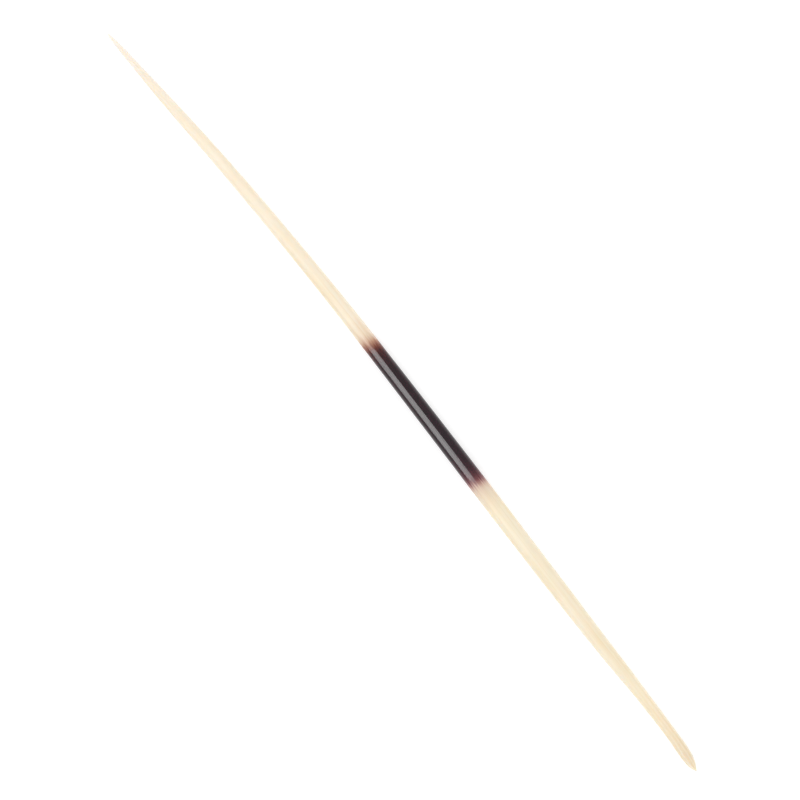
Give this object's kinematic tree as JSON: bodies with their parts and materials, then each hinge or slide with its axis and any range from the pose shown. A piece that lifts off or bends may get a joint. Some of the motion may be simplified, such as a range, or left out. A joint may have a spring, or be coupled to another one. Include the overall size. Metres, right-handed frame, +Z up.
{
  "type": "porcupine quill",
  "caption": "Single long porcupine quill: a slim, slightly bowed ivory spindle with a dark middle band, a needle point and a small pointed root.",
  "frame": {"origin": "middle of the quill's bounding box, at the height of the surface it lies on", "axes": "+X along the quill towards its needle point, +Z up, and the quill bows towards -Y"},
  "size_m": [0.3, 0.0078, 0.0061],
  "materials": {
    "keratin": "natural keratin, cream ivory with fine lengthwise fibres and a soft horn shine, and one brown-black band from 44 to 62 percent of the length behind the needle point"
  },
  "bodies": {
    "root": {"quill": "keratin"}
  },
  "joints": []
}
